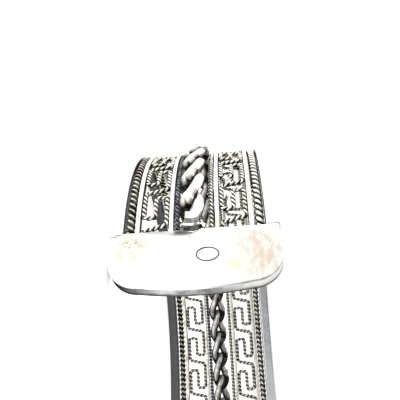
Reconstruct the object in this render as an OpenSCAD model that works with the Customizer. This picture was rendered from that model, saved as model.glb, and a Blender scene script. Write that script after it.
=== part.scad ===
// Open oval cuff bracelet of soldered silver wirework, lying on its side.
// The wrist axis is Z, the opening faces -Y and the back of the cuff faces +Y.
// Along the cuff, s runs from -arm_l at the plate on the -X side to arm_l on the +X side.

/* [Outline] */
// Height of the cuff as it lies, which is the width of the band
band_w = 24; // [23:0.5:28]
// Radius of the outer face across the back
back_r = 40.5; // [36:0.5:46]
// Angle from the middle of the back to the tighter side
back_turn = 39; // [34:1:42]
// Radius of the outer face at the sides
side_r = 20.5; // [18:0.5:24]
// Angle of each side
side_turn = 41; // [36:1:46]
// Radius of the outer face between a side and its plate
front_r = 30; // [27:0.5:34]
// Angle of each front stretch
front_turn = 58; // [54:1:60]

/* [Plates and rails] */
// Thickness of the plates and rails
metal_t = 2.4; // [1.8:0.1:3]
// Length of each plain end plate
plate_l = 9; // [7:0.5:12]
// Radius of a plate's two free corners
corner_r = 4.2; // [2:0.2:5]
// Rise of a plate's curved tip edge over the width of the cuff
tip_bulge = 0.6; // [0:0.1:1.2]
// Width of each side rail
rail_w = 2; // [1.6:0.1:2.4]

/* [Strips and ropes] */
// Width of the groove that holds an edge rope
groove_w = 1.55; // [1.4:0.05:1.8]
// Diameter of an edge rope
edge_rope_d = 1.35; // [1:0.05:1.35]
// Width of each outer flat strip
outer_strip_w = 0.7; // [0.5:0.05:0.9]
// Width of each inner flat strip
inner_strip_w = 0.65; // [0.5:0.05:0.9]
// Thickness of the flat strips
strip_t = 1.3; // [1:0.1:1.6]
// Step from the rails' outer face down to the strips
strip_sink = 0.2; // [0:0.05:0.4]
// Diameter of a rope beside the chain
chain_rope_d = 0.85; // [0.6:0.05:0.9]

/* [Meander bands] */
// Width and thickness of the bent wire
meander_wire = 0.65; // [0.5:0.05:0.8]
// Length of one period of the pattern
meander_pitch = 7.45; // [6.8:0.05:8]
// Distance from the plate to the first bar of the low band
low_start = 0.95; // [0.9:0.05:2]
// Distance from the plate to the first bar of the high band
high_start = 1.7; // [0.9:0.05:2]
// Height of the lower hook within a period
hook_low = 0.26; // [0.2:0.01:0.35]
// Height of the upper hook within a period
hook_high = 0.79; // [0.7:0.01:0.82]
// How far a bar climbs from its low edge to its high edge
bar_climb = 0.8; // [0:0.1:1]

/* [Chain] */
// Number of whole links between the two cut end links
link_count = 27; // [26:1:28]
// Height of the links' middle above the rails' outer face
chain_rise = 0.35; // [0.25:0.05:0.45]
// Distance from a plate to the middle of its cut end link
end_link_at = 2.6; // [2.5:0.1:2.8]

/* [Hidden] */
link_names = [for (i = [1 : link_count]) str("link_", i < 10 ? "0" : "", i)];

silver = "silver";
dark_silver = "dimgray";
// Gap between a piece and the piece that it is set against
fit_gap = 0.05;
// Overlap by which a cutting shape passes the face that it cuts
cut = 0.5;
// Length of strip that runs on inside a plate
strip_root = 1;
// Largest angle between two corners of the side outline
outline_step = 4;

// Angles and lengths from the middle of the back to each joint of the outline
side_start = back_turn;
front_start = back_turn + side_turn;
arm_turn = front_start + front_turn;
back_l = arc_length(back_r, back_turn);
side_l = arc_length(side_r, side_turn);
front_l = arc_length(front_r, front_turn);
arm_l = back_l + side_l + front_l;

// The end links stand end_link_at from the plates, and the whole links share what is between
link_pitch = 2 * (arm_l - end_link_at) / (link_count + 1);
// A curb link's sizes go with the pitch: in these shares each link passes freely through the next.
// Its high arm's wire is bent no higher than link_high, and is rubbed flat at link_flat
link_wire = 0.17 * link_pitch;
link_reach = 0.73 * link_pitch;
link_half_w = 0.33 * link_pitch;
link_high = 0.176 * link_pitch;
link_flat = 0.23 * link_pitch;
// Tilt of a link about the chain's line, and the further turn of its two ends, which go opposite ways
link_tilt = 35;
link_turn = 65;
// Half the width that the chain takes up
chain_edge = 0.4 * link_pitch;

// The highest point of the chain above the rails, and the cuff's depth, centre it on the origin
chain_top = chain_rise + link_flat;
cuff_depth = back_r - outline_y(arm_turn) + plate_l * sin(arm_turn);
back_y = (cuff_depth - chain_top) / 2;
back_centre = [0, back_y - back_r];
side_centre = back_centre + (back_r - side_r) * outward(side_start);
front_centre = side_centre + (side_r - front_r) * outward(front_start);

// Places across the cuff, from the low rail in and from the chain out: the meander fills what is left
edge_rope_z = rail_w + groove_w / 2;
outer_strip_z = rail_w + groove_w;
meander_z = outer_strip_z + outer_strip_w;
middle_z = band_w / 2;
chain_rope_z = middle_z - chain_edge - fit_gap - chain_rope_d / 2;
inner_strip_z = chain_rope_z - chain_rope_d / 2 - fit_gap - inner_strip_w;
meander_w = inner_strip_z - meander_z;

// Steps from the rails' outer face down to the ropes and the meander
edge_rope_sink = 0.1;
chain_rope_sink = 0.225;
meander_sink = 0.3;

// Least room between the last bar of a meander and the plate
last_bar_room = 1;
meander_count = floor((2 * arm_l - max(low_start, high_start) - last_bar_room) / meander_pitch);

link_sides = 6;
rope_sides = 8;
link_steps = 24;
end_link_steps = 18;
// Turns between which the cut end links are kept: their two ends are inside the foot
left_cut = [-120, 115];
right_cut = [65, 300];

// The foot of a cut end link, from the plate's edge: its reach over the plate and back, the radius of
// its round front edge, its half width there and at its peak, its underside, and the round edge's sides
foot_l = 0.65;
foot_back = 2.1;
foot_r = 3;
foot_half_w = 1.75;
foot_peak_half_w = 1;
foot_floor = -1.3;
foot_sides = 48;
// Where its steps are, as [along, outward]: solder toe, wall, ledge and filed facet
foot_toe = [-foot_l, 0.14];
foot_wall = [[-0.08, 0.26], [0.12, 0.95]];
foot_ledge = [0.4, 1.04];
foot_peak_at = 1.05;

function arc_length(r, turn) = r * turn * PI / 180;
function outward(turn) = [sin(turn), cos(turn)];
// Height of an arm's outer face above the back arc's centre, at a turn on the front stretch
function outline_y(turn) = (back_r - side_r) * cos(side_start) + (side_r - front_r) * cos(front_start)
    + front_r * cos(turn);

// Turn of the outline at s, negative on the -X side
function arm_angle(s) = s < back_l ? s / back_r * 180 / PI
    : s < back_l + side_l ? side_start + (s - back_l) / side_r * 180 / PI
    : front_start + (s - back_l - side_l) / front_r * 180 / PI;
function turn_at(s) = sign(s) * arm_angle(abs(s));

// Point of the outline at a turn, out from the rails' outer face
function arc_point(a, out) = a < side_start ? back_centre + (back_r + out) * outward(a)
    : a < front_start ? side_centre + (side_r + out) * outward(a)
    : front_centre + (front_r + out) * outward(a);
function outline_point(turn, out) = let (p = arc_point(abs(turn), out))
    [turn < 0 ? -p[0] : p[0], p[1]];
// Point on the straight run past the end of an arm, on the side of the sign given
function tip_point(side, out, run) =
    let (p = arc_point(arm_turn, out) + run * [cos(arm_turn), -sin(arm_turn)]) [side * p[0], p[1]];
// Turns at the corners of the side outline, stopping trim short of each plate
function outline_turns(trim) =
    let (end = arm_turn - trim / front_r * 180 / PI, n = ceil(2 * end / outline_step))
    [for (i = [0 : n]) end * (2 * i / n - 1)];

function unit(v) = v / norm(v);

// Places its children on the outer face at s: X along the cuff, Y outward, Z across it
module on_cuff(s) {
    p = outline_point(turn_at(s), 0);
    translate([p[0], p[1], 0])
        rotate([0, 0, -turn_at(s)])
            children();
}

module both_arms() {
    children();
    mirror([1, 0, 0]) children();
}

// Side view of a band that is t thick under out: it stops trim short of the plates or runs on by run
module side_outline(out, t, trim = 0, run = 0) {
    turns = outline_turns(trim);
    last = len(turns) - 1;
    runs_on = run > 0;
    polygon(concat(
        runs_on ? [tip_point(-1, out, run)] : [],
        [for (i = [0 : last]) outline_point(turns[i], out)],
        runs_on ? [tip_point(1, out, run), tip_point(1, out - t, run)] : [],
        [for (i = [last : -1 : 0]) outline_point(turns[i], out - t)],
        runs_on ? [tip_point(-1, out - t, run)] : []));
}

module strip(z, w) {
    translate([0, 0, z])
        linear_extrude(w)
            side_outline(-strip_sink, strip_t, run = strip_root);
}

// Rail and strips of one half of the width
module half_band() {
    linear_extrude(rail_w)
        side_outline(0, metal_t, run = plate_l + cut);
    strip(outer_strip_z, outer_strip_w);
    strip(inner_strip_z, inner_strip_w);
}

// Outline of a plate: [along, across], with round free corners and a curved tip edge
module plate_outline() {
    corner_steps = 8;
    tip_steps = 8;
    corner_x = plate_l - tip_bulge - corner_r;
    low_corner = [for (i = [0 : corner_steps]) let (a = -90 + i * 90 / corner_steps)
        [corner_x + corner_r * cos(a), corner_r + corner_r * sin(a)]];
    tip = [for (i = [1 : tip_steps - 1]) let (u = i / tip_steps)
        [plate_l - tip_bulge * pow(2 * u - 1, 2), corner_r + u * (band_w - 2 * corner_r)]];
    high_corner = [for (i = [0 : corner_steps]) let (a = i * 90 / corner_steps)
        [corner_x + corner_r * cos(a), band_w - corner_r + corner_r * sin(a)]];
    polygon(concat([[-cut, -cut], [corner_x, -cut]], low_corner, tip, high_corner,
                   [[corner_x, band_w + cut], [-cut, band_w + cut]]));
}

// A plate with square corners, in the side view of the rails
module plate_block() {
    run = plate_l + cut;
    linear_extrude(band_w)
        polygon([
            tip_point(1, 0, 0),
            tip_point(1, 0, run),
            tip_point(1, -metal_t, run),
            tip_point(1, -metal_t, 0)]);
}

// What is cut off a plate to leave its round corners and curved tip
module plate_trim() {
    on_cuff(arm_l)
        rotate([90, 0, 0])
            translate([0, 0, -cut])
                linear_extrude(metal_t + 2 * cut)
                    difference() {
                        translate([cut, -2 * cut])
                            square([plate_l + 2 * cut, band_w + 4 * cut]);
                        plate_outline();
                    }
}

module frame() {
    color(silver)
        difference() {
            union() {
                half_band();
                translate([0, 0, band_w]) mirror([0, 0, 1]) half_band();
                both_arms() plate_block();
            }
            both_arms() plate_trim();
        }
}

// A straight-sided opening through a pierced band, its corners as [along, across]
module pierce(s, corners) {
    on_cuff(s)
        rotate([90, 0, 0])
            translate([0, 0, meander_wire / 2 + meander_sink])
                linear_extrude(meander_wire + 2 * cut, center = true)
                    polygon(corners);
}

// A pierced band: one wire bent into bars, hooks and side runs, with two openings a period
module meander(z_low, start) {
    z_a = z_low + fit_gap;
    z_b = z_low + meander_w - fit_gap;
    z_mid = (z_a + z_b) / 2;
    half = meander_wire / 2;
    p = meander_pitch;
    v_low = hook_low * p;
    v_high = hook_high * p;
    last_room = 2 * arm_l - start - meander_count * p;
    function climb(z) = bar_climb * (z - z_mid) / (z_b - z_a);
    difference() {
        translate([0, 0, z_a])
            linear_extrude(z_b - z_a)
                side_outline(-meander_sink, meander_wire, trim = fit_gap);
        // What is left of a period at each plate
        pierce(start - arm_l, [
            [-start, z_a + meander_wire],
            [climb(z_a) - half, z_a + meander_wire],
            [climb(z_b) - half, z_b + cut],
            [-start, z_b + cut]]);
        pierce(arm_l - last_room, [
            [last_room, z_b - meander_wire],
            [climb(z_b) + half, z_b - meander_wire],
            [climb(z_a) + half, z_a - cut],
            [last_room, z_a - cut]]);
        for (i = [0 : meander_count - 1]) {
            s_bar = start + i * p - arm_l;
            below = v_high / 2;
            pierce(s_bar + below, [
                [half + climb(z_a) - below, z_a - cut],
                [half + climb(z_b) - below, z_b - meander_wire],
                [v_high - half - below, z_b - meander_wire],
                [v_high - half - below, z_mid + half],
                [v_low - half - below, z_mid + half],
                [v_low - half - below, z_a - cut]]);
            above = (v_low + p) / 2;
            pierce(s_bar + above, [
                [v_low + half - above, z_a + meander_wire],
                [v_low + half - above, z_mid - half],
                [v_high + half - above, z_mid - half],
                [v_high + half - above, z_b + cut],
                [p + climb(z_b) - half - above, z_b + cut],
                [p + climb(z_a) - half - above, z_a + meander_wire]]);
        }
    }
}

// Triangles between ring i and ring k of a swept tube
function ring_faces(i, k, sides) = [for (j = [0 : sides - 1]) let (n = (j + 1) % sides)
    each [[i * sides + j, i * sides + n, k * sides + n],
          [i * sides + j, k * sides + n, k * sides + j]]];
// The two flat ends of an open tube
function cap_faces(last, sides) =
    [[for (j = [sides - 1 : -1 : 0]) j], [for (j = [0 : sides - 1]) last * sides + j]];

// The round form of a twisted rope, swept along the outline with its top sunk below the rails
module rope(z, sink, d) {
    turns = outline_turns(fit_gap);
    last = len(turns) - 1;
    out = -sink - d / 2;
    points = [for (a = turns) each [for (j = [0 : rope_sides - 1]) let (u = (j + 0.5) * 360 / rope_sides,
        p = outline_point(a, out + d / 2 * cos(u))) [p[0], p[1], z - d / 2 * sin(u)]]];
    faces = [for (i = [0 : last - 1]) each ring_faces(i, i + 1, rope_sides)];
    polyhedron(points, concat(faces, cap_faces(last, rope_sides)));
}

module meander_low() {
    color(silver) meander(meander_z, low_start);
}

module meander_high() {
    color(silver) meander(band_w - meander_z - meander_w, high_start);
}

module edge_rope_low() {
    color(dark_silver) rope(edge_rope_z, edge_rope_sink, edge_rope_d);
}

module edge_rope_high() {
    color(dark_silver) rope(band_w - edge_rope_z, edge_rope_sink, edge_rope_d);
}

module chain_rope_low() {
    color(dark_silver) rope(chain_rope_z, chain_rope_sink, chain_rope_d);
}

module chain_rope_high() {
    color(dark_silver) rope(band_w - chain_rope_z, chain_rope_sink, chain_rope_d);
}

// Centre line of a curb link: a tilted oval whose two ends are turned about the chain's line
function link_roll(t) = link_tilt - link_turn * cos(t);
function link_point(t) = let (roll = link_roll(t), from_line = link_half_w * sin(t))
    [link_reach * cos(t), min(link_high, from_line * sin(roll)), from_line * cos(roll)];
function link_dir(t) = unit(link_point(t + 1) - link_point(t - 1));
// Ring of the wire, square to the centre line and rolled with the oval
function link_ring(t) = let (roll = link_roll(t), d = link_dir(t),
    a = unit(cross(d, [0, cos(roll), -sin(roll)])), b = cross(a, d))
    [for (j = [0 : link_sides - 1]) let (u = j * 360 / link_sides,
        p = link_point(t) + link_wire / 2 * (cos(u) * a + sin(u) * b)) [p[0], min(p[1], link_flat), p[2]]];

module whole_link() {
    points = [for (i = [0 : link_steps - 1]) each link_ring(i * 360 / link_steps)];
    faces = [for (i = [0 : link_steps - 1]) each ring_faces(i, (i + 1) % link_steps, link_sides)];
    polyhedron(points, faces);
}

// What is left of a link between two turns
module cut_link(turns) {
    step = (turns[1] - turns[0]) / end_link_steps;
    points = [for (i = [0 : end_link_steps]) each link_ring(turns[0] + i * step)];
    faces = [for (i = [0 : end_link_steps - 1]) each ring_faces(i, i + 1, link_sides)];
    polyhedron(points, concat(faces, cap_faces(end_link_steps, link_sides)));
}

// The filed ramp that joins a cut end link to its plate: its front is round and it narrows to its peak
module foot(peak_half_w) {
    intersection() {
        translate([0, 0, -foot_half_w])
            linear_extrude(2 * foot_half_w)
                polygon([
                    [-foot_l, fit_gap],
                    [fit_gap, fit_gap],
                    [fit_gap, foot_floor],
                    [foot_back, foot_floor],
                    [foot_back, chain_top],
                    [foot_peak_at, chain_top],
                    foot_ledge,
                    foot_wall[1],
                    foot_wall[0],
                    foot_toe]);
        translate([foot_r - foot_l, 0, 0])
            rotate([90, 0, 0])
                cylinder(r = foot_r, h = 2 * metal_t, center = true, $fn = foot_sides);
        rotate([90, 0, 0])
            linear_extrude(2 * metal_t, center = true)
                polygon([
                    [-foot_l, -foot_half_w],
                    [foot_wall[1][0], -foot_half_w],
                    [foot_peak_at, -peak_half_w],
                    [foot_back, -peak_half_w],
                    [foot_back, peak_half_w],
                    [foot_peak_at, peak_half_w],
                    [foot_wall[1][0], foot_half_w],
                    [-foot_l, foot_half_w]]);
    }
}

// The end of the chain at the plate on the -X or +X side, by its sign: a cut end link and its foot
module chain_end(side, turns, peak_half_w) {
    on_cuff(side * arm_l)
        translate([0, 0, middle_z])
            rotate([0, side < 0 ? 0 : 180, 0])
                foot(peak_half_w);
    on_cuff(side * (arm_l - end_link_at))
        translate([0, chain_rise, middle_z])
            cut_link(turns);
}

module chain_end_left() {
    color(silver) chain_end(-1, left_cut, foot_peak_half_w);
}

module chain_end_right() {
    color(silver) chain_end(1, right_cut, foot_half_w);
}

module link(i) {
    color(silver)
        on_cuff(end_link_at - arm_l + i * link_pitch)
            translate([0, chain_rise, middle_z])
                whole_link();
}

frame();
meander_low();
meander_high();
edge_rope_low();
edge_rope_high();
chain_rope_low();
chain_rope_high();
chain_end_left();
chain_end_right();
for (i = [1 : link_count])
    link(i);
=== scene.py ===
import math

import bmesh
import bpy
import numpy as np
from mathutils import Matrix, Vector


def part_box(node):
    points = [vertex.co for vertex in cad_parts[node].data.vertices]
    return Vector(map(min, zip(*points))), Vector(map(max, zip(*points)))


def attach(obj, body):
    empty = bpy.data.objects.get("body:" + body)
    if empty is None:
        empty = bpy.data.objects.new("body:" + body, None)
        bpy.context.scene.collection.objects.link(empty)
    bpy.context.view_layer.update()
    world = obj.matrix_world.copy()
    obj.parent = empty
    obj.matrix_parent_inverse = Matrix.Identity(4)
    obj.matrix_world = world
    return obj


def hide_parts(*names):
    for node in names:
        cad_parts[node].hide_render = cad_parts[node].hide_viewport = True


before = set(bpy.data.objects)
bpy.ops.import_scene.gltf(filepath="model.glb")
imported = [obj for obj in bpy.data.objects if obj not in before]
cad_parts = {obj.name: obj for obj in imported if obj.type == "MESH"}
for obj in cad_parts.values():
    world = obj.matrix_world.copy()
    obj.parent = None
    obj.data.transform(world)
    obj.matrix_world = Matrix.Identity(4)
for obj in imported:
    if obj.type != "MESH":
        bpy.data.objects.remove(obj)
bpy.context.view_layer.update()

# A millimetre in the scene's metres. Sizes below are in millimetres, as the solids have them
MM = 0.001

# The outline: arcs of the back, of each side and of each arm's front, with a straight plate at either end
BACK_R = 40.5
BACK_TURN = math.radians(39)
SIDE_R = 20.5
SIDE_TURN = math.radians(41)
FRONT_R = 30
FRONT_TURN = math.radians(58)
METAL_T = 2.4
PLATE_L = 9
CORNER_R = 4.2
TIP_BULGE = 0.6

# Rails, the grooves that hold the edge ropes, and flat strips
RAIL_W = 2
GROOVE_W = 1.55
OUTER_STRIP_W = 0.7
INNER_STRIP_W = 0.65
STRIP_T = 1.3
STRIP_SINK = 0.2

# Ropes and key wires, each with its depth below the rails' outer face, and the gap between neighbours
EDGE_ROPE_D = 1.35
EDGE_ROPE_SINK = 0.1
CHAIN_ROPE_D = 0.85
CHAIN_ROPE_SINK = 0.225
MEANDER_WIRE = 0.65
MEANDER_SINK = 0.3
FIT_GAP = 0.05

# The key pattern: its period, its start on either band, its hook as shares of a period, its bar's slope
MEANDER_PITCH = 7.45
MEANDER_COUNT = 19
LOW_START = 0.95
HIGH_START = 1.7
HOOK_LOW = 0.26
HOOK_HIGH = 0.79
BAR_CLIMB = 0.8

# The chain: its height over the rails' face and the place of its cut end links before the seams
LINK_COUNT = 27
CHAIN_RISE = 0.35
END_LINK_AT = 2.6

frame_low, frame_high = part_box("frame")
BAND_W = (frame_high.z - frame_low.z) / MM

FRONT_START = BACK_TURN + SIDE_TURN
ARM_TURN = FRONT_START + FRONT_TURN
BACK_L = BACK_R * BACK_TURN
SIDE_L = SIDE_R * SIDE_TURN
ARM_L = BACK_L + SIDE_L + FRONT_R * FRONT_TURN

# A link's half length, the height of its rubbed top and the chain's half width go with its pitch
LINK_PITCH = 2 * (ARM_L - END_LINK_AT) / (LINK_COUNT + 1)
LINK_REACH = 0.73 * LINK_PITCH
LINK_FLAT = 0.23 * LINK_PITCH
CHAIN_EDGE = 0.4 * LINK_PITCH

# Places across the band, from the low rail's edge to the middle
EDGE_ROPE_Z = RAIL_W + GROOVE_W / 2
OUTER_STRIP_Z = RAIL_W + GROOVE_W
MEANDER_Z = OUTER_STRIP_Z + OUTER_STRIP_W
MIDDLE_Z = BAND_W / 2
CHAIN_ROPE_Z = MIDDLE_Z - CHAIN_EDGE - FIT_GAP - CHAIN_ROPE_D / 2
INNER_STRIP_Z = CHAIN_ROPE_Z - CHAIN_ROPE_D / 2 - FIT_GAP - INNER_STRIP_W
MEANDER_W = INNER_STRIP_Z - MEANDER_Z

# Centres of the outline's arcs: the cuff's depth with its chain is centred on the origin
CHAIN_TOP = CHAIN_RISE + LINK_FLAT
SIDE_DY = (BACK_R - SIDE_R) * math.cos(BACK_TURN)
FRONT_DY = SIDE_DY + (SIDE_R - FRONT_R) * math.cos(FRONT_START)
ARM_DY = FRONT_DY + FRONT_R * math.cos(ARM_TURN) - PLATE_L * math.sin(ARM_TURN)
BACK_CY = (BACK_R - ARM_DY - CHAIN_TOP) / 2 - BACK_R
SIDE_CX = (BACK_R - SIDE_R) * math.sin(BACK_TURN)
FRONT_CX = SIDE_CX + (SIDE_R - FRONT_R) * math.sin(FRONT_START)

UP = np.array([0.0, 0.0, 1.0])
FULL_TURN = 2 * math.pi


def turn_at(s):
    """Turn of the outline at lengths s, negative on the -X side; it stays the same past the arms."""
    a = np.minimum(np.abs(s), ARM_L)
    side_turn = BACK_TURN + (a - BACK_L) / SIDE_R
    front_turn = FRONT_START + (a - BACK_L - SIDE_L) / FRONT_R
    past_back = np.where(a < BACK_L + SIDE_L, side_turn, front_turn)
    return np.sign(s) * np.where(a < BACK_L, a / BACK_R, past_back)


def outward(s):
    """Unit vectors square to the cuff's outer face at s."""
    turn = turn_at(s)
    return np.stack([np.sin(turn), np.cos(turn), 0 * turn], axis=-1)


def along(s):
    """Unit vectors along the cuff at s, towards the arm on the +X side."""
    turn = turn_at(s)
    return np.stack([np.cos(turn), -np.sin(turn), 0 * turn], axis=-1)


def on_cuff(s, out, z):
    """Points at length s along the cuff, out from the rails' outer face, and z across, in millimetres."""
    s, out, z = np.broadcast_arrays(np.asarray(s, float), out, z)
    turn = np.abs(turn_at(s))
    a = np.abs(s)
    in_back = turn < BACK_TURN
    in_side = turn < FRONT_START
    cx = np.where(in_back, 0, np.where(in_side, SIDE_CX, FRONT_CX))
    cy = BACK_CY + np.where(in_back, 0, np.where(in_side, SIDE_DY, FRONT_DY))
    r = out + np.where(in_back, BACK_R, np.where(in_side, SIDE_R, FRONT_R))
    past = np.maximum(a - ARM_L, 0)
    x = cx + r * np.sin(turn) + past * np.cos(turn)
    y = cy + r * np.cos(turn) - past * np.sin(turn)
    return np.stack([np.sign(s) * x, y, z + 0 * x], axis=-1)


def unit(v):
    return v / np.linalg.norm(v, axis=-1, keepdims=True)


def smooth(low, high, x):
    """A soft step from 0 at low to 1 at high."""
    t = np.clip((x - low) / (high - low), 0, 1)
    return t * t * (3 - 2 * t)


def circle_steps(count):
    return np.linspace(0, FULL_TURN, count, endpoint=False)


class Shape:
    """Gathers closed forms into one mesh, with a value of tarnish and painted shade from 0, bright, to 1,
    dark, at each point.
    """

    def __init__(self):
        self.points = []
        self.faces = []
        self.tarnish_and_shade = []
        self.count = 0

    def add(self, points, faces, tarnish_and_shade):
        points = np.asarray(points, float).reshape(-1, 3)
        self.points.append(points)
        self.tarnish_and_shade.append(np.broadcast_to(tarnish_and_shade, len(points)).astype(float))
        self.faces += [[i + self.count for i in face] for face in faces]
        self.count += len(points)

    def tube(self, rings, tarnish_and_shade, closed=False):
        """A swept form: rings are counted along it, and each runs anticlockwise about its direction."""
        n, k = rings.shape[:2]
        last = n if closed else n - 1
        faces = []
        for i in range(last):
            a = i * k
            b = (i + 1) % n * k
            faces += [(a + j, a + (j + 1) % k, b + (j + 1) % k, b + j) for j in range(k)]
        if not closed:
            faces.append(tuple(range(k - 1, -1, -1)))
            faces.append(tuple(range((n - 1) * k, n * k)))
        self.add(rings, faces, np.broadcast_to(tarnish_and_shade, (n, k)).reshape(-1))

    def make(self, name, material, slot, *nodes):
        """Makes the piece, which stands for the named nodes of the solids."""
        mesh = bpy.data.meshes.new(name)
        mesh.from_pydata(np.concatenate(self.points) * MM, [], self.faces)
        mesh.validate()
        mesh.materials.append(material)
        mesh.shade_smooth()
        layer = mesh.attributes.new("tarnish_and_shade", "FLOAT", "POINT")
        layer.data.foreach_set("value", np.concatenate(self.tarnish_and_shade).astype(np.float32))
        piece = bpy.data.objects.new(name, mesh)
        bpy.context.scene.collection.objects.link(piece)
        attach(piece, "root")
        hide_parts(*nodes)
        return piece


# Flat bands: rails, strips and plates

# A narrow flat margin beside each round corner keeps the face next to it flat
EASE = 0.1
CORNER_STEPS = 4
BAND_STEP = 0.9
SOFT_EDGE = 0.22
STRIP_SOFT_EDGE = 0.12
# How far rails and strips reach under the plates
RAIL_UNDER_PLATE = 0.9 * SOFT_EDGE
STRIP_UNDER_PLATE = 0.4

# Oxide and painted shade beside the grooves, and painted shade on the faces inside the cuff, much darker on
# the low rail than on the high one, and how far it fades from them
GROOVE_DARK = 0.95
LOW_RAIL_INSIDE = 0.9
HIGH_RAIL_INSIDE = 0.3
STRIP_INSIDE = 0.25
RAIL_GROOVE_FADE = (RAIL_W - 0.15, RAIL_W - 0.02)
STRIP_SIDE_FADE = (0.85, 1.0)
STRIP_INSIDE_FADE = 0.3


def rounded_section(out_low, out_high, z_low, z_high, r):
    """A bar's section as (out, z) points, anticlockwise, its corners round and its faces held flat."""
    corners = [(out_high - r, z_low + r, -90), (out_high - r, z_high - r, 0),
               (out_low + r, z_high - r, 90), (out_low + r, z_low + r, 180)]
    points = []
    for out, z, start in corners:
        arc = [math.radians(start + 90 * i / CORNER_STEPS) for i in range(CORNER_STEPS + 1)]
        ring = [(out + r * math.cos(a), z + r * math.sin(a)) for a in arc]
        first, last = arc[0], arc[-1]
        before = (ring[0][0] + EASE * math.sin(first), ring[0][1] - EASE * math.cos(first))
        after = (ring[-1][0] - EASE * math.sin(last), ring[-1][1] + EASE * math.cos(last))
        points += [before] + ring + [after]
    return np.array(points)


def band(shape, section, reach, tarnish_and_shade):
    """Sweeps a section along the cuff, as far as reach on either side of the back's middle."""
    s = np.linspace(-reach, reach, int(2 * reach / BAND_STEP) + 1)
    shape.tube(on_cuff(s[:, None], section[None, :, 0], section[None, :, 1]), tarnish_and_shade[None, :])


def make_rails(metal):
    shape = Shape()
    for z_low, inside in ((0, LOW_RAIL_INSIDE), (BAND_W - RAIL_W, HIGH_RAIL_INSIDE)):
        section = rounded_section(-METAL_T, 0, z_low, z_low + RAIL_W, SOFT_EDGE)
        from_edge = section[:, 1] if z_low == 0 else BAND_W - section[:, 1]
        # Oxide and painted shade beside the groove, painted shade on the inner face
        groove = GROOVE_DARK * smooth(*RAIL_GROOVE_FADE, from_edge)
        inner = inside * (1 - smooth(-METAL_T, -METAL_T + 2 * SOFT_EDGE, section[:, 0]))
        band(shape, section, ARM_L + RAIL_UNDER_PLATE, np.maximum(groove, inner))
    return shape.make("side_rails", metal, "silver", "frame")


def make_strips(metal):
    shape = Shape()
    bottom = -STRIP_SINK - STRIP_T
    for strip_z, width in ((OUTER_STRIP_Z, OUTER_STRIP_W), (INNER_STRIP_Z, INNER_STRIP_W)):
        for low in (strip_z, BAND_W - strip_z - width):
            section = rounded_section(bottom, -STRIP_SINK, low, low + width, STRIP_SOFT_EDGE)
            from_middle = np.abs(section[:, 1] - low - width / 2) / (width / 2)
            # Oxide and painted shade on the strip's sides, painted shade on its inner face
            sides = GROOVE_DARK * smooth(*STRIP_SIDE_FADE, from_middle)
            inner = STRIP_INSIDE * (1 - smooth(bottom, bottom + STRIP_INSIDE_FADE, section[:, 0]))
            band(shape, section, ARM_L + STRIP_UNDER_PLATE, np.maximum(sides, inner))
    return shape.make("flat_strips", metal, "silver", "frame")


# The plates' outer edge is rounder near their tips than at the seam: runs between which it changes
TIP_SOFT_EDGE = 0.3
TIP_SOFTENS = (2, 6)
# Painted shade on the plates' inner edge, and on their cut face by height over it
INNER_EDGE_DARK = 0.95
CUT_FACE = [(0.4, 0.9), (0.8, 0.4), (1.2, 0.05)]  # height, painted shade
CORNER_POINTS = 15
TIP_POINTS = 25


def plate_outline():
    """A plate's outline as (run, z), anticlockwise from the seam's low end, and its inward normals."""
    centre_run = PLATE_L - TIP_BULGE - CORNER_R
    arc = np.radians(np.linspace(0, 90, CORNER_POINTS))
    low_run = centre_run + CORNER_R * np.sin(arc)
    low_z = CORNER_R - CORNER_R * np.cos(arc)
    u = np.linspace(0, 1, TIP_POINTS)[1:-1]
    tip_run = PLATE_L - TIP_BULGE * (2 * u - 1) ** 2
    tip_z = CORNER_R + u * (BAND_W - 2 * CORNER_R)
    run = np.concatenate([[0, centre_run / 2], low_run, tip_run, low_run[::-1], [centre_run / 2, 0]])
    z = np.concatenate([[0, 0], low_z, tip_z, BAND_W - low_z[::-1], [BAND_W, BAND_W]])
    points = np.stack([run, z], axis=-1)
    step = np.roll(points, -1, axis=0) - np.roll(points, 1, axis=0)
    normal = unit(np.stack([-step[:, 1], step[:, 0]], axis=-1))
    normal[0] = normal[1] = (0, 1)
    normal[-1] = normal[-2] = (0, -1)
    return points, normal


# The stamp's plain oval outline, in the middle of the plate on the -X side, as a sunk line
STAMP_RUN = 4.0
STAMP_Z = 13.8
STAMP_HALF_Z = 1.52
STAMP_HALF_RUN = 1.02
STAMP_LINE = 0.17
STAMP_LIP = 0.03
STAMP_DEPTH = 0.06
STAMP_SHOULDER = 0.6 * STAMP_DEPTH
STAMP_POINTS = 48


def oval(grow):
    """The stamp's oval as (run, z) points, grown by an amount all round."""
    a = circle_steps(STAMP_POINTS)
    run = STAMP_RUN + (STAMP_HALF_RUN + grow) * np.cos(a)
    z = STAMP_Z + (STAMP_HALF_Z + grow) * np.sin(a)
    return np.stack([run, z], axis=-1)


def stamp_rings():
    """The oval line from outside in: how far each ring lies from its middle, its height and how dark it is.
    """
    half = STAMP_LINE / 2
    lip = half + STAMP_LIP
    return [(lip + EASE, 0, 0.0), (lip, 0, 0.0), (half, -STAMP_SHOULDER, 0.9), (0, -STAMP_DEPTH, 1.0),
            (-half, -STAMP_SHOULDER, 0.9), (-lip, 0, 0.0), (-lip - EASE, 0, 0.0)]


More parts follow.
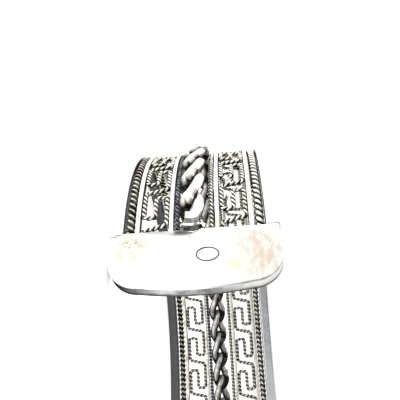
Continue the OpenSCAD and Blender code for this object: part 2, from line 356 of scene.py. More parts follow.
def make_plate(name, side, polished, filed):
    """A plain end plate with soft edges; the one on the -X side carries the stamp's oval line."""
    outline, inward = plate_outline()
    bm = bmesh.new()
    layer = bm.verts.layers.float.new("tarnish_and_shade")

    def loop(points, out, tarnish_and_shade):
        verts = []
        for (run, z), height in zip(points, np.broadcast_to(out, len(points))):
            vert = bm.verts.new(Vector(on_cuff(side * (ARM_L + run), height, z) * MM))
            vert[layer] = tarnish_and_shade
            verts.append(vert)
        return verts

    def skirt(one, two, slot=0):
        n = len(one)
        for i in range(n):
            face = bm.faces.new((one[i], one[(i + 1) % n], two[(i + 1) % n], two[i]))
            face.material_index = slot

    r = SOFT_EDGE
    tip_r = r + (TIP_SOFT_EDGE - r) * smooth(*TIP_SOFTENS, outline[:, 0])
    angles = [math.radians(90 * i / CORNER_STEPS) for i in range(CORNER_STEPS + 1)]
    inner_edge = [(r * (1 - math.sin(a)), -METAL_T + r * (1 - math.cos(a)), INNER_EDGE_DARK) for a in angles]
    cut_face = [(0, -METAL_T + height, tarnish_and_shade) for height, tarnish_and_shade in CUT_FACE]
    outer_edge = [(tip_r * (1 - math.cos(a)), -tip_r + tip_r * math.sin(a), 0.0) for a in angles]
    rings = [(r + EASE, -METAL_T, 0.0)] + inner_edge + cut_face + outer_edge + [(tip_r + EASE, 0, 0.0)]
    loops = [loop(outline + np.reshape(inset, (-1, 1)) * inward, out, tarnish_and_shade)
             for inset, out, tarnish_and_shade in rings]
    filed_from = len(inner_edge)
    filed_to = filed_from + len(cut_face) + 2
    for i in range(len(loops) - 1):
        skirt(loops[i], loops[i + 1], 1 if filed_from <= i < filed_to else 0)
    bm.faces.new(loops[0][::-1])
    if side > 0:
        bm.faces.new(loops[-1])
    else:
        rim = [loop(oval(grow), out, tarnish_and_shade) for grow, out, tarnish_and_shade in stamp_rings()]
        for i in range(len(rim) - 1):
            skirt(rim[i], rim[i + 1])
        bm.faces.new(rim[-1])
        edges = [bm.edges.get((ring[i], ring[(i + 1) % len(ring)]))
                 for ring in (loops[-1], rim[0]) for i in range(len(ring))]
        bmesh.ops.triangle_fill(bm, edges=edges, use_beauty=True, use_dissolve=False)
    bmesh.ops.recalc_face_normals(bm, faces=bm.faces)
    mesh = bpy.data.meshes.new(name)
    bm.to_mesh(mesh)
    bm.free()
    mesh.materials.append(polished)
    mesh.materials.append(filed)
    mesh.shade_smooth()
    piece = bpy.data.objects.new(name, mesh)
    bpy.context.scene.collection.objects.link(piece)
    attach(piece, "root")
    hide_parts("frame")
    return piece


# Twisted wires: ropes and key wires

# Oxide and painted shade in the groove, and painted shade on the flanks, on the side inside the cuff and on
# the top, by height over the wire's middle line and by distance from it, in shares of the wire's radius
FLANK_BEGINS = (-0.85, -0.4)
FLANK_ENDS = (0.15, 0.6)
INSIDE_FADE = (-0.6, 0)
TOP_FADE = (0.2, 0.5)
WIRE_INSIDE = 0.3
GROOVE_SOFT = 0.22


def twisted(shape, path, s, wire_d, lay, sides, flank_dark, groove_to, groove_soft=GROOVE_SOFT, top_dark=0.0):
    """Two strands wound left-handed along an evenly spaced path, which lies at lengths s of the cuff.

    The strands are dark in the groove between them, up to groove_to from the wire's middle line: oxide and
    painted shade.
    """
    step = np.linalg.norm(np.diff(path, axis=0), axis=1)
    length = np.concatenate([[0], np.cumsum(step)])
    direction = unit(np.gradient(path, axis=0))
    normal = outward(s)
    normal = unit(normal - direction * np.sum(normal * direction, axis=1, keepdims=True))
    across = np.cross(direction, normal)
    strand_r = wire_d / 4
    turn = FULL_TURN * length / lay
    around = circle_steps(sides)
    for start in (0, math.pi):
        phase = (turn + start)[:, None]
        radial = normal * np.cos(phase) - across * np.sin(phase)
        centre = path + strand_r * radial
        run = unit(np.gradient(centre, axis=0))
        first = unit(radial - run * np.sum(radial * run, axis=1, keepdims=True))
        second = np.cross(run, first)
        rings = centre[:, None] + strand_r * (np.cos(around)[None, :, None] * first[:, None]
                                              + np.sin(around)[None, :, None] * second[:, None])
        offset = rings - path[:, None]
        rise = np.sum(offset * normal[:, None], axis=2) / (2 * strand_r)
        reach = np.linalg.norm(offset, axis=2) / (2 * strand_r)
        # Oxide and painted shade in the groove; painted shade on the flanks, on the side inside the cuff and,
        # by top_dark, on the top
        groove = 1 - smooth(groove_to - groove_soft, groove_to, reach)
        flank = flank_dark * smooth(*FLANK_BEGINS, rise) * (1 - smooth(*FLANK_ENDS, rise))
        inner = WIRE_INSIDE * (1 - smooth(*INSIDE_FADE, rise))
        top = top_dark * smooth(*TOP_FADE, rise)
        shape.tube(rings, np.maximum.reduce([groove, flank, inner, top]))


EDGE_ROPE = {"sink": EDGE_ROPE_SINK, "rope_d": EDGE_ROPE_D, "lay": 2.15, "steps_per_lay": 14, "sides": 10}
CHAIN_ROPE = {"sink": CHAIN_ROPE_SINK, "rope_d": CHAIN_ROPE_D, "lay": 1.5, "steps_per_lay": 12, "sides": 8}
ROPE_FLANK = 0.65


def make_rope(node, z, metal, sink, rope_d, lay, steps_per_lay, sides, **tarnish_and_shade):
    count = int(2 * ARM_L / lay * steps_per_lay)
    s = np.linspace(FIT_GAP - ARM_L, ARM_L - FIT_GAP, count)
    path = on_cuff(s, -sink - rope_d / 2, z)
    shape = Shape()
    twisted(shape, path, s, rope_d, lay, sides, ROPE_FLANK, **tarnish_and_shade)
    return shape.make(node + "_twist", metal, "wirework", node)


# A bend takes up to this share of the stretches beside it, and has this many points
BEND_SHARE = 0.45
BEND_POINTS = 7


def rounded_path(corners, radius, spacing):
    """Evenly spaced points along a line through the corners, each corner turned on a small curve."""
    corners = np.array(corners)
    points = [corners[0]]
    for before, here, after in zip(corners[:-2], corners[1:-1], corners[2:]):
        come = before - here
        leave = after - here
        a = here + unit(come) * min(radius, BEND_SHARE * np.linalg.norm(come))
        b = here + unit(leave) * min(radius, BEND_SHARE * np.linalg.norm(leave))
        for t in np.linspace(0, 1, BEND_POINTS):
            points.append((1 - t) ** 2 * a + 2 * t * (1 - t) * here + t * t * b)
    points.append(corners[-1])
    points = np.array(points)
    length = np.concatenate([[0], np.cumsum(np.linalg.norm(np.diff(points, axis=0), axis=1))])
    even = np.linspace(0, length[-1], int(length[-1] / spacing) + 1)
    return np.stack([np.interp(even, length, points[:, 0]), np.interp(even, length, points[:, 1])], axis=-1)


# The key wires' strands stand a little proud of the square bars of the solids
KEY_WIRE_D = 0.82
KEY_LAY = 1.7
KEY_SIDES = 8
KEY_BEND_R = 0.5
KEY_STEP = 0.16
KEY_FLANK = 0.95
KEY_GROOVE_TO = 0.98

# Lumps of solder that fill loops of the high key wire near the plate on the -X side
SOLDER = [  # run from the seam, z, half length, half width
    (4.5, 17.15, 0.8, 0.5), (6.5, 17.25, 0.7, 0.5), (10.7, 16.9, 0.6, 0.42)]
SOLDER_RISE = 0.34
SOLDER_RINGS = 9
SOLDER_SIDES = 16
SOLDER_POLE = 86


def add_solder(shape, run, z, half_length, half_width):
    """A low round lump: rings of points from its lowest point to its highest."""
    rise = np.radians(np.linspace(-SOLDER_POLE, SOLDER_POLE, SOLDER_RINGS))[:, None]
    around = circle_steps(SOLDER_SIDES)[None, :]
    out = SOLDER_RISE * np.sin(rise) - MEANDER_SINK - SOLDER_RISE + 0 * around
    s = half_length * np.cos(rise) * np.sin(around) + run - ARM_L
    shape.tube(on_cuff(s, out, z + half_width * np.cos(rise) * np.cos(around)), 0.0)


def make_key_wire(name, node, z_low, start, metal, solder=()):
    """One twisted wire bent into a key pattern: bar, side run, hook back along the middle, side run."""
    z_a = z_low + FIT_GAP + MEANDER_WIRE / 2
    z_b = z_low + MEANDER_W - FIT_GAP - MEANDER_WIRE / 2
    z_mid = (z_a + z_b) / 2
    v_low = HOOK_LOW * MEANDER_PITCH
    v_high = HOOK_HIGH * MEANDER_PITCH
    climb = BAR_CLIMB / 2
    corners = [(FIT_GAP - ARM_L, z_a)]
    for k in range(MEANDER_COUNT + 1):
        bar = start - ARM_L + k * MEANDER_PITCH
        corners += [(bar - climb, z_a), (bar + climb, z_b)]
        if k < MEANDER_COUNT:
            corners += [(bar + v_high, z_b), (bar + v_high, z_mid), (bar + v_low, z_mid), (bar + v_low, z_a)]
    corners.append((ARM_L - FIT_GAP, z_b))
    flat = rounded_path(corners, KEY_BEND_R, KEY_STEP)
    s = flat[:, 0]
    path = on_cuff(s, -MEANDER_SINK - MEANDER_WIRE / 2, flat[:, 1])
    shape = Shape()
    twisted(shape, path, s, KEY_WIRE_D, KEY_LAY, KEY_SIDES, KEY_FLANK, KEY_GROOVE_TO)
    for lump in solder:
        add_solder(shape, *lump)
    return shape.make(name, metal, "wirework", node)


# The curb chain

# The wire is thicker than in the solids, which keep a gap, so its middle line lies further in.
# It widens in the arms, and the high arms are rubbed flat
WIRE_R = 0.62
ARM_EXTRA = 0.2
LINK_HALF_W = 1.38
LINK_SHIFT = -0.3
LINK_TILT = math.radians(52)
LINK_TURN = math.radians(65)
LINK_STEPS = 56
LINK_SIDES = 14
# Turns in degrees between which the wire of either cut end link runs
LEFT_END_TURNS = (-120, 115)
RIGHT_END_TURNS = (65, 300)
END_LINK_STEPS = 48
# The wire's middle line levels off softly at this height, and this share is left of what is over the top
LINK_HIGH = LINK_FLAT - 0.35
LEVEL_SOFT = 0.12
LEFT_ABOVE = 0.04

# Painted shade on the wire's flanks, on its side inside the link, on the low arm, on the arm's tail under the
# next link and in the recess between links, each with the ends of its ramps. The ramps of the low arm, of
# the tail's length and of the recess are in millimetres, the others in shares of the wire's radius
LINK_FLANK = 0.45
LINK_FLANK_BEGINS = (-0.7, -0.2)
LINK_FLANK_ENDS = (0.0, 0.5)
LINK_INSIDE = 0.6
LINK_INSIDE_BEGINS = (0.1, 0.8)
LINK_INSIDE_ENDS = (0.5, 0.9)
LOW_ARM = 0.4
LOW_ARM_ENDS = (0.3, 0.9)
TAIL = 0.5
TAIL_ENDS = (-4.0, -3.3)
TAIL_RISES = (-0.3, 0.3)
RECESS = 0.75
RECESS_BEGINS = (-1.15, -0.55)
RECESS_ENDS = (-0.2, 0.35)


def link_centre(t):
    """A tilted oval whose two ends are turned opposite ways: along, outward and across."""
    roll = LINK_TILT - LINK_TURN * np.cos(t)
    from_line = LINK_HALF_W * np.sin(t)
    over = (LINK_HIGH - from_line * np.sin(roll)) / LEVEL_SOFT
    high = LINK_HIGH - LEVEL_SOFT * np.logaddexp(0, over)
    return np.stack([LINK_REACH * np.cos(t), high, from_line * np.cos(roll) + LINK_SHIFT], axis=-1)


def link_rings(t):
    """Rings of a curb link's wire, about the link's own middle: along, outward and across."""
    centre = link_centre(t)
    nudge = 0.01
    run = unit(link_centre(t + nudge) - link_centre(t - nudge))
    first = unit(np.cross(run, [0.0, 1.0, 0.0]))
    second = np.cross(first, run)
    u = circle_steps(LINK_SIDES)
    wide = (WIRE_R + ARM_EXTRA * np.sin(t) ** 2)[:, None, None]
    rings = centre[:, None] + (wide * np.cos(u)[None, :, None] * first[:, None]
                               + WIRE_R * np.sin(u)[None, :, None] * second[:, None])
    high = rings[..., 1]
    rings[..., 1] = np.where(high > LINK_FLAT, LINK_FLAT + LEFT_ABOVE * (high - LINK_FLAT), high)
    return rings


def link_tarnish_and_shade(rings):
    """Painted shade: bright on the rubbed top and below, darker on flanks and inner walls, darkest between
    the links.
    """
    middle = rings.mean(axis=1, keepdims=True)
    rise = (rings - middle)[..., 1] / WIRE_R
    inward = np.sign(middle[..., 2]) * (middle - rings)[..., 2] / WIRE_R
    run = rings[..., 0]
    out = rings[..., 1]
    flank = smooth(*LINK_FLANK_BEGINS, rise) * (1 - smooth(*LINK_FLANK_ENDS, rise))
    inside = smooth(*LINK_INSIDE_BEGINS, inward) * (1 - smooth(*LINK_INSIDE_ENDS, rise))
    low_arm = LOW_ARM * (1 - smooth(*LOW_ARM_ENDS, out))
    tail = TAIL * (1 - smooth(*TAIL_ENDS, run)) * smooth(*TAIL_RISES, rise)
    recess = RECESS * smooth(*RECESS_BEGINS, out) * (1 - smooth(*RECESS_ENDS, out))
    return np.clip(LINK_FLANK * flank + LINK_INSIDE * inside + low_arm + tail + recess, 0, 1)


def place_on_cuff(points, s):
    """Moves points from a piece's own along, outward and across to its place on the chain's line."""
    s = np.array(s)
    base = on_cuff(s, 0.0, MIDDLE_Z)
    return base + points[..., 0:1] * along(s) + points[..., 1:2] * outward(s) + points[..., 2:3] * UP


def add_link(shape, s, angles, closed):
    rings = link_rings(angles)
    tarnish_and_shade = link_tarnish_and_shade(rings)
    shape.tube(place_on_cuff(rings + np.array([0, CHAIN_RISE, 0]), s), tarnish_and_shade, closed)


def make_link(i, metal):
    shape = Shape()
    add_link(shape, END_LINK_AT - ARM_L + i * LINK_PITCH, circle_steps(LINK_STEPS), True)
    node = f"link_{i:02d}"
    return shape.make("curb_" + node, metal, "chain", node)


# The foot of a cut end link as sections from the plate's edge back: solder toe, wall, ledge, filed facet
# and peak. Its front edge is bowed, its flanks spread towards their feet
FOOT_FLOOR = -1.2
FOOT_SPREAD = 0.16
FOOT_BOW = 0.4
# Darkness of each section: a dark toe, painted shade on the wall, a pale ledge, a painted dark reflection on
# the filed facet and a bright peak
FOOT_SECTIONS = [  # along, half width, height, darkness, share of the bow
    (-0.36, 1.58, 0.06, 0.6, 1.0),
    (-0.30, 1.58, 0.12, 0.8, 1.0),
    (-0.10, 1.56, 0.20, 0.9, 1.0),
    (0.06, 1.40, 0.86, 0.9, 0.6),
    (0.10, 1.38, 0.92, 0.1, 0.6),
    (0.38, 1.24, 1.00, 0.1, 0.4),
    (0.44, 1.18, 1.06, 0.75, 0.3),
    (0.98, 0.84, 1.42, 0.65, 0.0),
    (1.05, 0.82, 1.46, 0.0, 0.0),
    (2.10, 0.80, 1.46, 0.0, 0.0)]
# Places across the foot's top, from its high side to its low one, and then back below it
FOOT_TOP = [1.0, 0.5, 0.0, -0.5, -1.0]
FOOT_BASE = [(-1.0, -FOOT_SPREAD), (0.0, 0.0), (1.0, FOOT_SPREAD)]  # share of the half width, spread


def add_foot(shape, side):
    """The filed ramp that joins a cut end link to its plate."""
    rings = []
    tarnish_and_shade = []
    for x, half_w, height, dark, bow in FOOT_SECTIONS:
        base = FIT_GAP if x < FIT_GAP + FOOT_BOW else FOOT_FLOOR
        corners = [(height, share, 0.0) for share in FOOT_TOP]
        corners += [(base, share, spread) for share, spread in FOOT_BASE]
        ring = []
        for out, share, spread in corners:
            z = LINK_SHIFT + share * half_w + spread
            ring.append((side * -(x + FOOT_BOW * bow * share ** 2), out, z))
        darkness = [dark] * len(FOOT_TOP) + [0.0] * len(FOOT_BASE)
        rings.append(ring if side > 0 else ring[::-1])
        tarnish_and_shade.append(darkness if side > 0 else darkness[::-1])
    shape.tube(place_on_cuff(np.array(rings), side * ARM_L), np.array(tarnish_and_shade))


def make_chain_end(name, node, side, turns, metal):
    """A link that is cut at the plate, between two turns in degrees, with its foot."""
    shape = Shape()
    add_link(shape, side * (ARM_L - END_LINK_AT), np.radians(np.linspace(*turns, END_LINK_STEPS)), False)
    add_foot(shape, side)
    return shape.make(name, metal, "chain", node)


# Materials

SILVER = (0.955, 0.945, 0.925, 1)
DULL_SILVER = (0.93, 0.915, 0.88, 1)
STRIP_SILVER = (0.92, 0.9, 0.86, 1)
CHAIN_SILVER = (0.95, 0.94, 0.91, 1)
# Filed metal, as its darker and lighter mottles, and where it is dim
FILED_GREY = (0.62, 0.63, 0.65, 1)
FILED_PALE = (0.97, 0.97, 0.96, 1)
FILED_DIM = (0.03, 0.035, 0.04, 1)
# Thin tarnish, whose colours also tint painted shade; the inky one tints only the painted shade of the low
# chain rope
STRAW = (0.62, 0.57, 0.47, 1)
SLATE = (0.42, 0.45, 0.47, 1)
PEWTER = (0.6, 0.58, 0.53, 1)
INK = (0.25, 0.26, 0.31, 1)
# Near black for thick tarnish and painted shade, a reddish near black for painted shade along the inner edge
# of the plates' filed ends, and the plate's dark marks
OXIDE_AND_SHADE = (0.012, 0.011, 0.010, 1)
INNER_EDGE_SHADE = (0.015, 0.004, 0.006, 1)
MARK = (0.12, 0.08, 0.06, 1)

# Value of tarnish and painted shade up to which the layer is thin
THIN_LAYER = 0.4
# Thick tarnish and painted shade hardly shine, even at a glancing angle
MATT_IOR = 1.08
MATT_METALLIC = 0.1

# Stains on the plate on the -X side: middle, half sizes, tint and grain
STAINS = [  # run, z, half run, half z, tint, grain
    (2.6, 3.0, 2.6, 3.6, (0.64, 0.61, 0.48, 1), "streaks"),
    (2.4, 3.0, 1.5, 2.2, (0.42, 0.34, 0.14, 1), "specks"),
    (4.6, 20.6, 5.4, 5.6, (0.69, 0.63, 0.55, 1), "streaks"),
    (4.2, 21.2, 3.4, 2.4, (0.65, 0.55, 0.46, 1), "streaks"),
    (5.7, 17.4, 1.2, 1.6, (0.72, 0.69, 0.45, 1), "streaks"),
    (2.2, 13.0, 0.6, 1.1, (0.72, 0.72, 0.76, 1), "streaks")]
# Small dark marks: scratches at the seam, a speck under the chain's foot and others near the plate's edges
MARKS = [  # run, z, half run, half z
    (-0.15, 1.0, 0.09, 0.9), (0.2, 1.2, 0.08, 0.8), (0.5, 0.7, 0.07, 0.6),
    (1.2, 11.4, 0.13, 0.11), (6.6, 23.75, 0.6, 0.09), (1.4, 7.8, 0.1, 0.1)]
# Heights across the plates' filed ends between which each change is made: out of the dark and matt low end,
# which is painted shade, and into the pale and satin high one, whose paleness is painted light
DARK_END = (2, 9)
MATT_END = (2.5, 8)
PALE_END = (14, 21)
SATIN_END = (14, 20)
# A stain is full up to this share of its size
STAIN_CORE = 0.55


def new_material(name):
    material = bpy.data.materials.new(name)
    material.use_nodes = True
    tree = material.node_tree
    shader = tree.nodes["Principled BSDF"]
    shader.inputs["Metallic"].default_value = 1.0
    return material, tree, shader


def add_node(tree, kind, **inputs):
    """A node whose named inputs are linked to a value, or set to one."""
    node = tree.nodes.new(kind)
    for name, value in inputs.items():
        set_input(tree, node.inputs[name.replace("_", " ")], value)
    return node


def set_input(tree, socket, value):
    if hasattr(value, "links"):
        tree.links.new(value, socket)
    else:
        socket.default_value = value


def object_place(tree):
    return tree.nodes.new("ShaderNodeTexCoord").outputs["Object"]


def noise(tree, scale, detail, stretch=(1, 1, 1)):
    """A noise value from 0 to 1 over the piece, its scale per metre."""
    mapping = add_node(tree, "ShaderNodeMapping", Vector=object_place(tree), Scale=stretch)
    where = mapping.outputs["Vector"]
    texture = add_node(tree, "ShaderNodeTexNoise", Vector=where, Scale=scale, Detail=detail)
    return texture.outputs["Fac"]


def remap(tree, value, span, result=(0, 1)):
    """Takes the values of a span to those of a result, and holds them past its ends."""
    node = add_node(tree, "ShaderNodeMapRange", Value=value, From_Min=span[0], From_Max=span[1],
                    To_Min=result[0], To_Max=result[1])
    return node.outputs["Result"]


def mix_colour(tree, factor, one, two):
    node = tree.nodes.new("ShaderNodeMix")
    node.data_type = "RGBA"
    sockets = [i for i in node.inputs if i.enabled]
    for socket, value in zip(sockets, (factor, one, two)):
        set_input(tree, socket, value)
    return [o for o in node.outputs if o.enabled][0]


def math_node(tree, operation, one, two):
    node = tree.nodes.new("ShaderNodeMath")
    node.operation = operation
    tree.links.new(one, node.inputs[0])
    tree.links.new(two, node.inputs[1])
    return node


def multiply(tree, one, two):
    return math_node(tree, "MULTIPLY", one, two).outputs["Value"]


def vector_math(tree, operation, one, two=None):
    node = tree.nodes.new("ShaderNodeVectorMath")
    node.operation = operation
    tree.links.new(one, node.inputs[0])
    if two is not None:
        node.inputs[1].default_value = two
    return node


def plate_place(tree):
    """Run from the seam and height across, in millimetres, on the plate on the -X side."""
    seam = on_cuff(-ARM_L, 0, 0) * MM
    direction = -along(-ARM_L)
    from_seam = vector_math(tree, "SUBTRACT", object_place(tree), seam).outputs["Vector"]
    run = vector_math(tree, "DOT_PRODUCT", from_seam, direction / MM).outputs["Value"]
    z = vector_math(tree, "DOT_PRODUCT", from_seam, UP / MM).outputs["Value"]
    return add_node(tree, "ShaderNodeCombineXYZ", X=run, Y=z).outputs["Vector"]


def ellipse(tree, place, middle, radii):
    """A soft-edged oval area: 1 in its middle, 0 outside."""
    offset = vector_math(tree, "SUBTRACT", place, (*middle, 0)).outputs["Vector"]
    scaled = vector_math(tree, "DIVIDE", offset, (*radii, 1)).outputs["Vector"]
    distance = vector_math(tree, "LENGTH", scaled).outputs["Value"]
    return remap(tree, distance, (STAIN_CORE, 1), (1, 0))


def bump(tree, shader, height, strength, distance):
    node = add_node(tree, "ShaderNodeBump", Strength=strength, Distance=distance, Height=height)
    tree.links.new(node.outputs["Normal"], shader.inputs["Normal"])


def tarnish_and_shade_value(tree):
    node = tree.nodes.new("ShaderNodeAttribute")
    node.attribute_name = "tarnish_and_shade"
    return node.outputs["Fac"]


def tarnish_and_shade_over(tree, value, clean, thin):
    """Colours clean metal by its tarnish and painted shade: a thin layer has a colour of its own, a thick one
    is near black.
    """
    with_thin = mix_colour(tree, remap(tree, value, (0, THIN_LAYER)), clean, thin)
    return mix_colour(tree, remap(tree, value, (THIN_LAYER, 1)), with_thin, OXIDE_AND_SHADE)


def tarnished_and_shaded_metal(name, dull, thin, rough):
    """Silver that goes from bright to near black with the piece's tarnish and painted shade, blotched by
    noise.
    """
    material, tree, shader = new_material(name)
    blotch = remap(tree, noise(tree, scale=900, detail=3), (0.35, 0.7), (-0.12, 0.25))
    total = math_node(tree, "ADD", tarnish_and_shade_value(tree), blotch)
    total.use_clamp = True
    total = total.outputs["Value"]
    worn = mix_colour(tree, remap(tree, noise(tree, scale=260, detail=4), (0.35, 0.65)), SILVER, dull)
    tree.links.new(tarnish_and_shade_over(tree, total, worn, thin), shader.inputs["Base Color"])
    tree.links.new(remap(tree, total, (0, 1), rough), shader.inputs["Roughness"])
    tree.links.new(remap(tree, total, (THIN_LAYER, 1), (1, MATT_METALLIC)), shader.inputs["Metallic"])
    shader.inputs["IOR"].default_value = MATT_IOR
    bump(tree, shader, noise(tree, scale=4000, detail=2), strength=0.15, distance=0.04 * MM)
    return material


def polished_colour(tree):
    """Bright silver, a little duller in clouds."""
    return mix_colour(tree, remap(tree, noise(tree, scale=220, detail=4), (0.4, 0.65)), SILVER, DULL_SILVER)


def polish(tree, shader, rough, scratch_depth):
    """A roughness that wanders between two values, and fine scratches along the cuff."""
    wander = remap(tree, noise(tree, scale=700, detail=5), (0.3, 0.7), rough)
    tree.links.new(wander, shader.inputs["Roughness"])
    scratches = noise(tree, scale=1500, detail=3, stretch=(1, 1, 8))
    bump(tree, shader, scratches, strength=scratch_depth, distance=0.03 * MM)


def plate_metal():
    """Polished silver with fine scratches, and the stains that lie on the plate on the -X side."""
    material, tree, shader = new_material("polished_silver")
    colour = polished_colour(tree)
    place = plate_place(tree)
    streaks = noise(tree, scale=800, detail=5, stretch=(1, 1, 2))
    grains = {"specks": remap(tree, noise(tree, scale=2600, detail=2), (0.58, 0.66)),
              "streaks": remap(tree, streaks, (0.4, 0.64), (0.35, 1))}
    for run, z, half_run, half_z, tint, grain in STAINS:
        area = ellipse(tree, place, (run, z), (half_run, half_z))
        colour = mix_colour(tree, multiply(tree, area, grains[grain]), colour, tint)
    for run, z, half_run, half_z in MARKS:
        colour = mix_colour(tree, ellipse(tree, place, (run, z), (half_run, half_z)), colour, MARK)
    # Near black on the plate's inner edge as painted shade, and in the stamp's sunk line
    colour = mix_colour(tree, tarnish_and_shade_value(tree), colour, OXIDE_AND_SHADE)
    tree.links.new(colour, shader.inputs["Base Color"])
    polish(tree, shader, rough=(0.16, 0.32), scratch_depth=0.12)
    return material


def rail_metal():
    """The plates' polished silver again, blue-grey to near black where tarnish and painted shade cover it."""
    material, tree, shader = new_material("rail_silver")
    colour = tarnish_and_shade_over(tree, tarnish_and_shade_value(tree), polished_colour(tree), SLATE)
    tree.links.new(colour, shader.inputs["Base Color"])
    polish(tree, shader, rough=(0.18, 0.3), scratch_depth=0.1)
    return material


def cut_edge_metal():
    """The plates' filed ends: mottled grey, near black with painted shade near the low rail, pale with
    painted light near the high one, and with reddish painted shade along the inner edge.
    """
    material, tree, shader = new_material("filed_edge")
    mottle = remap(tree, noise(tree, scale=900, detail=5), (0.38, 0.62))
    grey = mix_colour(tree, mottle, FILED_GREY, FILED_PALE)
    z = vector_math(tree, "DOT_PRODUCT", object_place(tree), UP / MM).outputs["Value"]
    # Painted shade darkens the low end and painted light pales the high end
    dim = mix_colour(tree, remap(tree, z, DARK_END, (1, 0.15)), grey, FILED_DIM)
    metal = mix_colour(tree, remap(tree, z, PALE_END), dim, SILVER)
    value = tarnish_and_shade_value(tree)
    # Reddish painted shade along the inner edge of the filed face
    colour = mix_colour(tree, value, metal, INNER_EDGE_SHADE)
    tree.links.new(colour, shader.inputs["Base Color"])
    bare = multiply(tree, remap(tree, value, (0.2, 0.8), (1, 0)), remap(tree, z, MATT_END))
    bare = multiply(tree, bare, remap(tree, z, SATIN_END, (1, 0.3)))
    tree.links.new(bare, shader.inputs["Metallic"])
    shader.inputs["IOR"].default_value = MATT_IOR
    tree.links.new(remap(tree, bare, (0, 1), (0.95, 0.27)), shader.inputs["Roughness"])
    bump(tree, shader, noise(tree, scale=2600, detail=4), strength=0.35, distance=0.05 * MM)
    return material


polished_metal = plate_metal()
filed_metal = cut_edge_metal()
wire_metal = tarnished_and_shaded_metal("twisted_silver_wire", DULL_SILVER, STRAW, (0.2, 0.45))
# The low chain rope's darker, ink-tinted silver is painted shade
shaded_wire_metal = tarnished_and_shaded_metal("shaded_silver_wire", DULL_SILVER, INK, (0.2, 0.45))
strip_metal = tarnished_and_shaded_metal("flat_silver_strip", STRIP_SILVER, STRAW, (0.18, 0.45))
chain_metal = tarnished_and_shaded_metal("curb_chain_silver", CHAIN_SILVER, PEWTER, (0.12, 0.4))

make_rails(rail_metal())
make_strips(strip_metal)
make_plate("end_plate_left", -1, polished_metal, filed_metal)
make_plate("end_plate_right", 1, polished_metal, filed_metal)
# The low ropes are painted darker than the high ones, as painted shade: narrower highlights on the low edge
# rope, a dark top and an ink tint on the low chain rope
make_rope("edge_rope_low", EDGE_ROPE_Z, wire_metal, **EDGE_ROPE, groove_to=1.02, groove_soft=0.09)
make_rope("edge_rope_high", BAND_W - EDGE_ROPE_Z, wire_metal, **EDGE_ROPE, groove_to=1.0)
make_rope("chain_rope_low", CHAIN_ROPE_Z, shaded_wire_metal, **CHAIN_ROPE, groove_to=1.04, top_dark=0.6)
make_rope("chain_rope_high", BAND_W - CHAIN_ROPE_Z, wire_metal, **CHAIN_ROPE, groove_to=1.0, top_dark=0.1)
make_key_wire("key_wire_low", "meander_low", MEANDER_Z, LOW_START, wire_metal)
make_key_wire("key_wire_high", "meander_high", BAND_W - MEANDER_Z - MEANDER_W, HIGH_START, wire_metal, SOLDER)
for number in range(1, LINK_COUNT + 1):
    make_link(number, chain_metal)
make_chain_end("cut_link_left", "chain_end_left", -1, LEFT_END_TURNS, chain_metal)
make_chain_end("cut_link_right", "chain_end_right", 1, RIGHT_END_TURNS, chain_metal)


# Floor, world, light and camera, in metres

FLOOR_HALF = 3.0
FLOOR_STEPS = 8
FLOOR_COLOUR = (0.96, 0.96, 0.955, 1)
FLOOR_GLOW = 0.6

# Where the studio is dim: towards the camera, on the +X side below the picture, and overhead
DIM_SIDES = [  # direction, cosines between which it changes, strength before and after
    ((0.2, -0.98, 0), (0.35, 0.9), (1.3, 0.3)),
    ((0.97, 0.25, 0), (0.55, 0.95), (1.0, 0.35)),
    ((0, 0, 1), (0.7, 0.95), (1.0, 0.5))]
WHITE = (1, 1, 1, 1)

CAMERA_AT = (-0.03587, -0.09063, 0.01804)
CAMERA_PITCH = math.radians(-7.08)
CAMERA_YAW = math.radians(-4.07)
CAMERA_ROLL = math.radians(-4.64)
SENSOR_MM = 36
LENS_MM = 45
CLIP_START = 0.005


def make_floor():
    row = FLOOR_STEPS + 1
    places = [-FLOOR_HALF + 2 * FLOOR_HALF * i / FLOOR_STEPS for i in range(row)]
    points = [(x, y, 0) for y in places for x in places]
    quads = []
    for j in range(FLOOR_STEPS):
        for i in range(FLOOR_STEPS):
            corner = j * row + i
            quads.append((corner, corner + 1, corner + row + 1, corner + row))
    mesh = bpy.data.meshes.new("floor")
    mesh.from_pydata(points, [], quads)
    material = bpy.data.materials.new("pale_floor")
    material.use_nodes = True
    shader = material.node_tree.nodes["Principled BSDF"]
    shader.inputs["Base Color"].default_value = FLOOR_COLOUR
    shader.inputs["Emission Color"].default_value = WHITE
    shader.inputs["Emission Strength"].default_value = FLOOR_GLOW
    shader.inputs["Roughness"].default_value = 1.0
    shader.inputs["Specular IOR Level"].default_value = 0.0
    mesh.materials.append(material)
    floor = bpy.data.objects.new("floor", mesh)
    bpy.context.scene.collection.objects.link(floor)


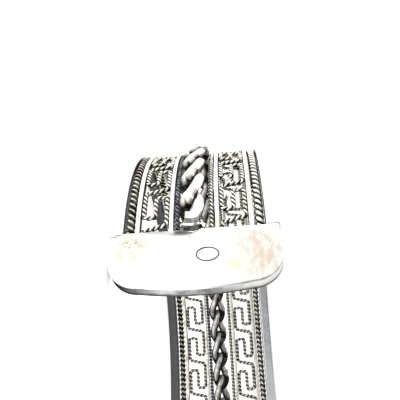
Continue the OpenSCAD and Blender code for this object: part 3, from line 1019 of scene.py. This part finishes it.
def make_world():
    """A white studio that is dim on some sides, in front of a plain white backdrop."""
    world = bpy.data.worlds.new("studio")
    bpy.context.scene.world = world
    world.use_nodes = True
    tree = world.node_tree
    where = tree.nodes.new("ShaderNodeTexCoord").outputs["Generated"]
    sides = []
    for direction, cosines, strengths in DIM_SIDES:
        dot = vector_math(tree, "DOT_PRODUCT", where, Vector(direction).normalized())
        sides.append(remap(tree, dot.outputs["Value"], cosines, strengths))
    level = multiply(tree, multiply(tree, sides[0], sides[1]), sides[2])
    studio = tree.nodes["Background"]
    tree.links.new(level, studio.inputs["Strength"])
    studio.inputs["Color"].default_value = WHITE
    backdrop = add_node(tree, "ShaderNodeBackground", Color=WHITE)
    choice = tree.nodes.new("ShaderNodeMixShader")
    tree.links.new(tree.nodes.new("ShaderNodeLightPath").outputs["Is Camera Ray"], choice.inputs["Fac"])
    tree.links.new(studio.outputs["Background"], choice.inputs[1])
    tree.links.new(backdrop.outputs["Background"], choice.inputs[2])
    tree.links.new(choice.outputs["Shader"], tree.nodes["World Output"].inputs["Surface"])


def add_light(name, at, to, size, power):
    light = bpy.data.lights.new(name, "AREA")
    light.shape = "DISK"
    light.size = size
    light.energy = power
    lamp = bpy.data.objects.new(name, light)
    bpy.context.scene.collection.objects.link(lamp)
    lamp.location = at
    direction = Vector(to) - Vector(at)
    lamp.rotation_euler = direction.to_track_quat("-Z", "Y").to_euler()


def make_camera():
    """The photograph's camera.

    The cuff's own axis runs level across the picture, so the view lies on its side.
    """
    ahead = Vector((0, 1, 0))
    above = Vector((-1, 0, 0))
    right = Vector((0, 0, 1))
    ahead_yawed = math.cos(CAMERA_YAW) * ahead + math.sin(CAMERA_YAW) * right
    right = math.cos(CAMERA_YAW) * right - math.sin(CAMERA_YAW) * ahead
    ahead = math.cos(CAMERA_PITCH) * ahead_yawed + math.sin(CAMERA_PITCH) * above
    above = math.cos(CAMERA_PITCH) * above - math.sin(CAMERA_PITCH) * ahead_yawed
    right_rolled = math.cos(CAMERA_ROLL) * right + math.sin(CAMERA_ROLL) * above
    above = math.cos(CAMERA_ROLL) * above - math.sin(CAMERA_ROLL) * right
    turn = Matrix((right_rolled, above, -ahead)).transposed()
    data = bpy.data.cameras.new("camera")
    data.sensor_width = SENSOR_MM
    data.lens = LENS_MM
    data.clip_start = CLIP_START
    camera = bpy.data.objects.new("camera", data)
    bpy.context.scene.collection.objects.link(camera)
    camera.matrix_world = Matrix.Translation(CAMERA_AT) @ turn.to_4x4()
    bpy.context.scene.camera = camera


make_floor()
make_world()
add_light("key", at=(-0.2, 0.12, 0.55), to=(0, 0, 0.01), size=0.2, power=0.8)
make_camera()
bpy.context.scene.view_settings.view_transform = "Standard"
